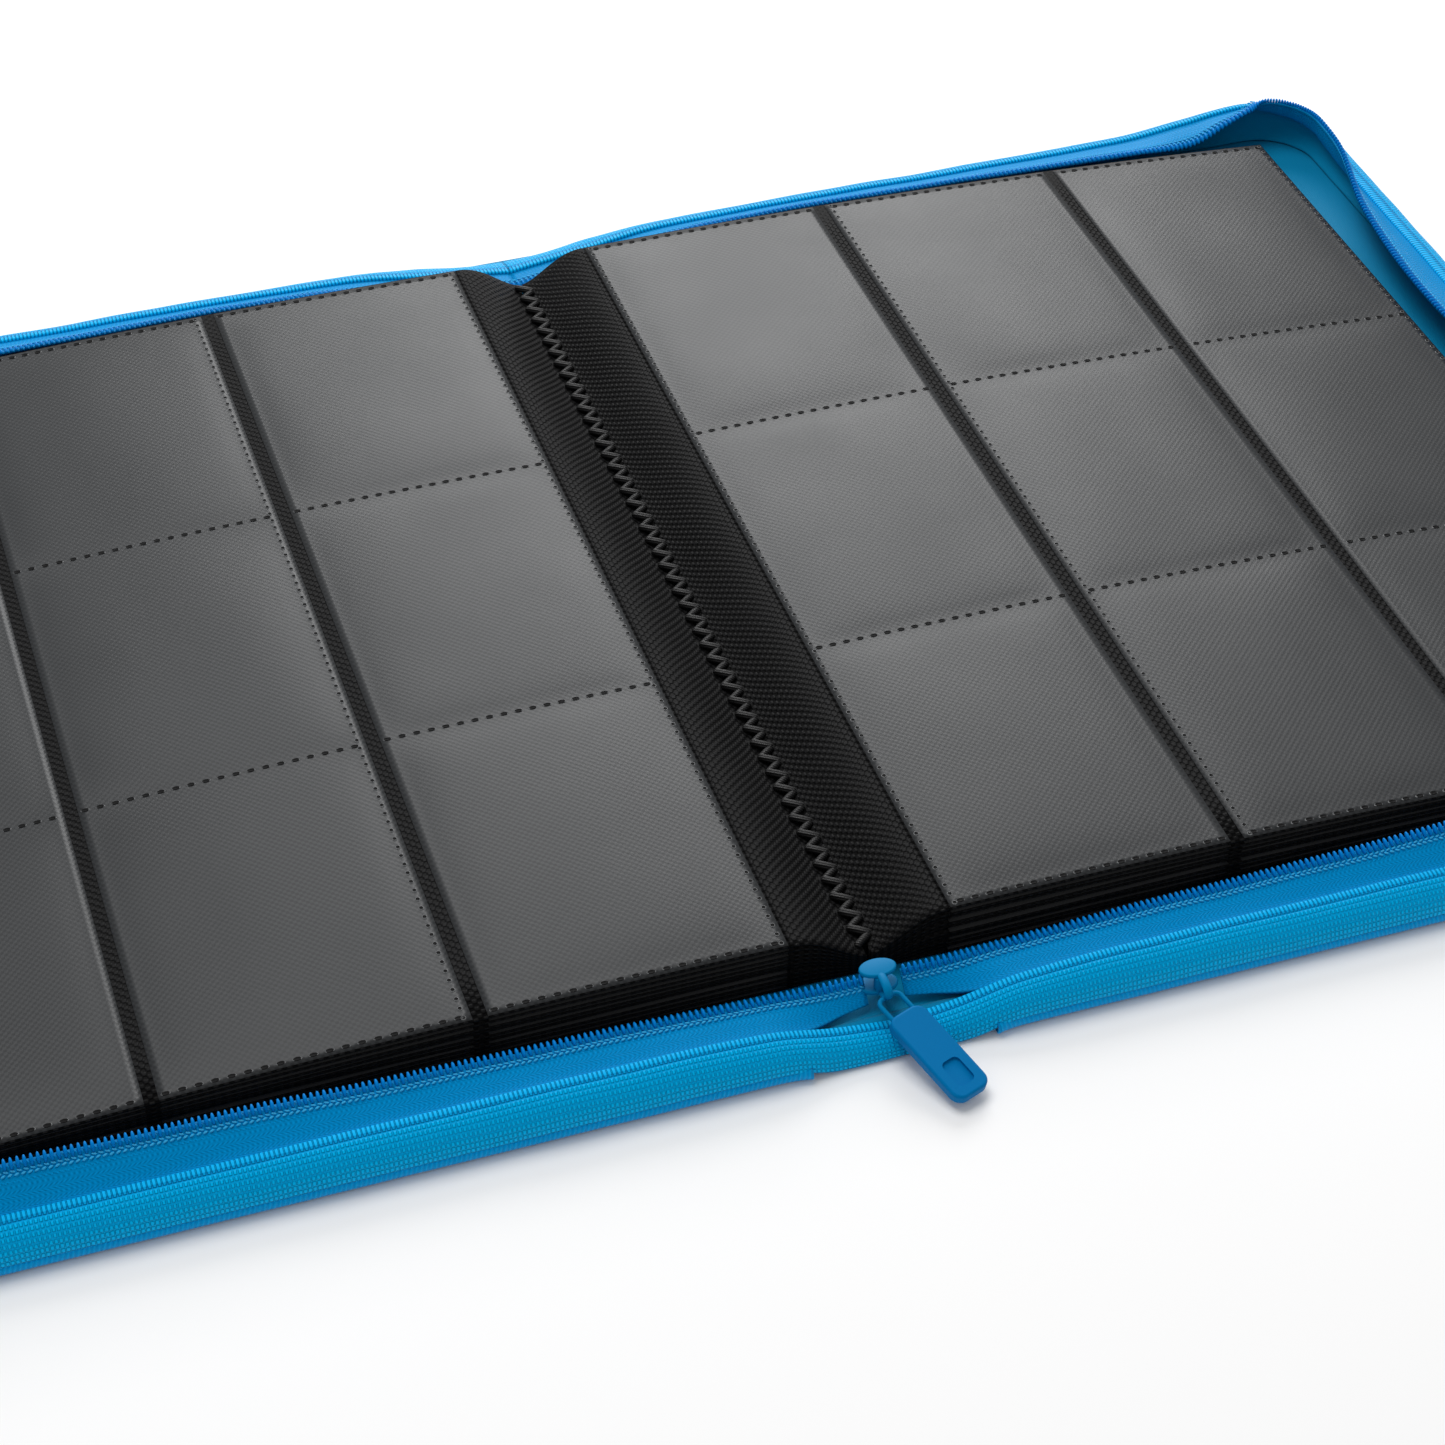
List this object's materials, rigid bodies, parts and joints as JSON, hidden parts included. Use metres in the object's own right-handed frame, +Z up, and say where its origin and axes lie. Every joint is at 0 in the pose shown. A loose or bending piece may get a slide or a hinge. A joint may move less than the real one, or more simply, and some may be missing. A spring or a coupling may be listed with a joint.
{
  "type": "trading card binder",
  "caption": "Zip-up card binder lying open, with side-loading pocket leaves stitched into a spine between two padded fabric covers and a slider with a moulded pull.",
  "frame": {"origin": "on the table, under the middle of the stitched gutter", "axes": "+X across the right-hand cover to its fore-edge, +Y to the back edge, away from the slider, +Z up out of the open pages"},
  "size_m": [0.521, 0.3524, 0.0179],
  "materials": {
    "woven_cover_fabric": "plain weave polyester, azure blue",
    "smooth_lining": "smooth lining cloth, teal blue",
    "greyboard": "pressed paper board, matte",
    "ribbed_binding": "ribbed grosgrain band",
    "zipper_tape": "herringbone zipper tape",
    "nylon_coil": "moulded nylon coil, satin",
    "black_thread": "twisted thread",
    "clear_film": "embossed clear film, low sheen",
    "black_sheet": "embossed polypropylene sheet",
    "painted_slider": "smooth blue enamel",
    "rubber_pull": "moulded soft rubber, satin"
  },
  "bodies": {
    "spine": {"back_coil_ends": "nylon_coil", "back_end_binding": "ribbed_binding", "back_tape_ends": "zipper_tape", "front_coil_ends": "nylon_coil", "front_end_binding": "ribbed_binding", "front_tape_ends": "zipper_tape", "gutter_stitch": "black_thread", "spine_board": "greyboard", "spine_lining": "smooth_lining", "spine_outer_fabric": "woven_cover_fabric"},
    "left_cover": {"left_cover_fabric": "woven_cover_fabric", "left_cover_board": "greyboard", "left_cover_lining": "smooth_lining", "left_wall_binding": "ribbed_binding", "left_edge_piping": "ribbed_binding", "left_zip_tape": "zipper_tape", "left_zip_coil": "nylon_coil"},
    "left_gutter": {"left_inner_strips": "black_sheet"},
    "left_pages": {"left_leaf_1_backing": "black_sheet", "left_leaf_2_backing": "black_sheet", "left_leaf_3_backing": "black_sheet", "left_leaf_4_backing": "black_sheet", "left_leaf_5_backing": "black_sheet", "left_leaf_6_backing": "black_sheet", "left_leaf_7_backing": "black_sheet", "left_leaf_8_backing": "black_sheet", "left_leaf_9_backing": "black_sheet", "left_inner_films": "clear_film"},
    "left_strip": {"left_top_strip": "black_sheet"},
    "left_leaf": {"left_top_backing": "black_sheet", "left_top_front_film": "clear_film", "left_top_back_film": "clear_film"},
    "right_cover": {"right_cover_fabric": "woven_cover_fabric", "right_cover_board": "greyboard", "right_cover_lining": "smooth_lining", "right_wall_binding": "ribbed_binding", "right_edge_piping": "ribbed_binding", "right_zip_tape": "zipper_tape", "right_zip_coil": "nylon_coil"},
    "right_gutter": {"right_inner_strips": "black_sheet"},
    "right_pages": {"right_leaf_1_backing": "black_sheet", "right_leaf_2_backing": "black_sheet", "right_leaf_3_backing": "black_sheet", "right_leaf_4_backing": "black_sheet", "right_leaf_5_backing": "black_sheet", "right_leaf_6_backing": "black_sheet", "right_leaf_7_backing": "black_sheet", "right_leaf_8_backing": "black_sheet", "right_leaf_9_backing": "black_sheet", "right_inner_films": "clear_film"},
    "right_strip": {"right_top_strip": "black_sheet"},
    "right_leaf": {"right_top_backing": "black_sheet", "right_top_front_film": "clear_film", "right_top_back_film": "clear_film"},
    "slider": {"slider_body": "painted_slider"},
    "pull": {"pull_wire": "painted_slider", "pull_tab": "rubber_pull"}
  },
  "joints": [
    {"name": "left_cover_fold", "type": "hinge", "parent": "spine", "child": "left_cover", "pos_m": [-0.019, 0, 0.0005], "axis": [0, 1, 0], "range_deg": [0, 90], "deforming": ["left_zip_tape", "left_zip_coil"]},
    {"name": "left_gutter_fold", "type": "hinge", "parent": "spine", "child": "left_gutter", "pos_m": [0, 0, 0.0091], "axis": [0, 1, 0], "range_deg": [0, 64], "deforming": ["left_inner_strips"]},
    {"name": "left_pages_fold", "type": "hinge", "parent": "left_gutter", "child": "left_pages", "pos_m": [-0.0215, 0, 0.00686], "axis": [0, 1, 0], "range_deg": [0, 26.2]},
    {"name": "left_leaf_turn", "type": "hinge", "parent": "left_pages", "child": "left_leaf", "pos_m": [-0.0002, 0, 0.0172], "axis": [0, -1, 0], "range_deg": [-174.4, 0]},
    {"name": "left_strip_turn", "type": "hinge", "parent": "left_gutter", "child": "left_strip", "pos_m": [0, 0, 0.0091], "axis": [0, -1, 0], "range_deg": [-136, 0], "deforming": ["left_top_strip"]},
    {"name": "right_cover_fold", "type": "hinge", "parent": "spine", "child": "right_cover", "pos_m": [0.019, 0, 0.0005], "axis": [0, -1, 0], "range_deg": [0, 90], "deforming": ["right_zip_tape", "right_zip_coil"]},
    {"name": "right_gutter_fold", "type": "hinge", "parent": "spine", "child": "right_gutter", "pos_m": [0, 0, 0.0091], "axis": [0, -1, 0], "range_deg": [0, 64], "deforming": ["right_inner_strips", "front_end_binding", "back_end_binding", "front_tape_ends", "front_coil_ends", "back_tape_ends", "back_coil_ends"]},
    {"name": "right_pages_fold", "type": "hinge", "parent": "right_gutter", "child": "right_pages", "pos_m": [0.0215, 0, 0.00686], "axis": [0, -1, 0], "range_deg": [0, 26.2]},
    {"name": "right_leaf_turn", "type": "hinge", "parent": "right_pages", "child": "right_leaf", "pos_m": [0.0002, 0, 0.0172], "axis": [0, 1, 0], "range_deg": [-174.4, 0]},
    {"name": "right_strip_turn", "type": "hinge", "parent": "right_gutter", "child": "right_strip", "pos_m": [0, 0, 0.0091], "axis": [0, 1, 0], "range_deg": [-136, 0], "deforming": ["right_top_strip"]},
    {"name": "slider_slide", "type": "slide", "parent": "spine", "child": "slider", "axis": [0, -1, 0], "range_m": [0, 0.006]},
    {"name": "pull_swing", "type": "hinge", "parent": "slider", "child": "pull", "pos_m": [-0.001, -0.1569, 0.0096], "axis": [-0.9336, -0.3584, 0], "range_deg": [0, 100]}
  ],
  "couplings": [
    {"joint": "left_gutter_fold", "follows": "left_cover_fold", "ratio": 0.71},
    {"joint": "left_pages_fold", "follows": "left_cover_fold", "ratio": 0.29},
    {"joint": "left_strip_turn", "follows": "left_leaf_turn", "ratio": 0.72},
    {"joint": "right_gutter_fold", "follows": "right_cover_fold", "ratio": 0.71},
    {"joint": "right_pages_fold", "follows": "right_cover_fold", "ratio": 0.29},
    {"joint": "right_strip_turn", "follows": "right_leaf_turn", "ratio": 0.72}
  ]
}
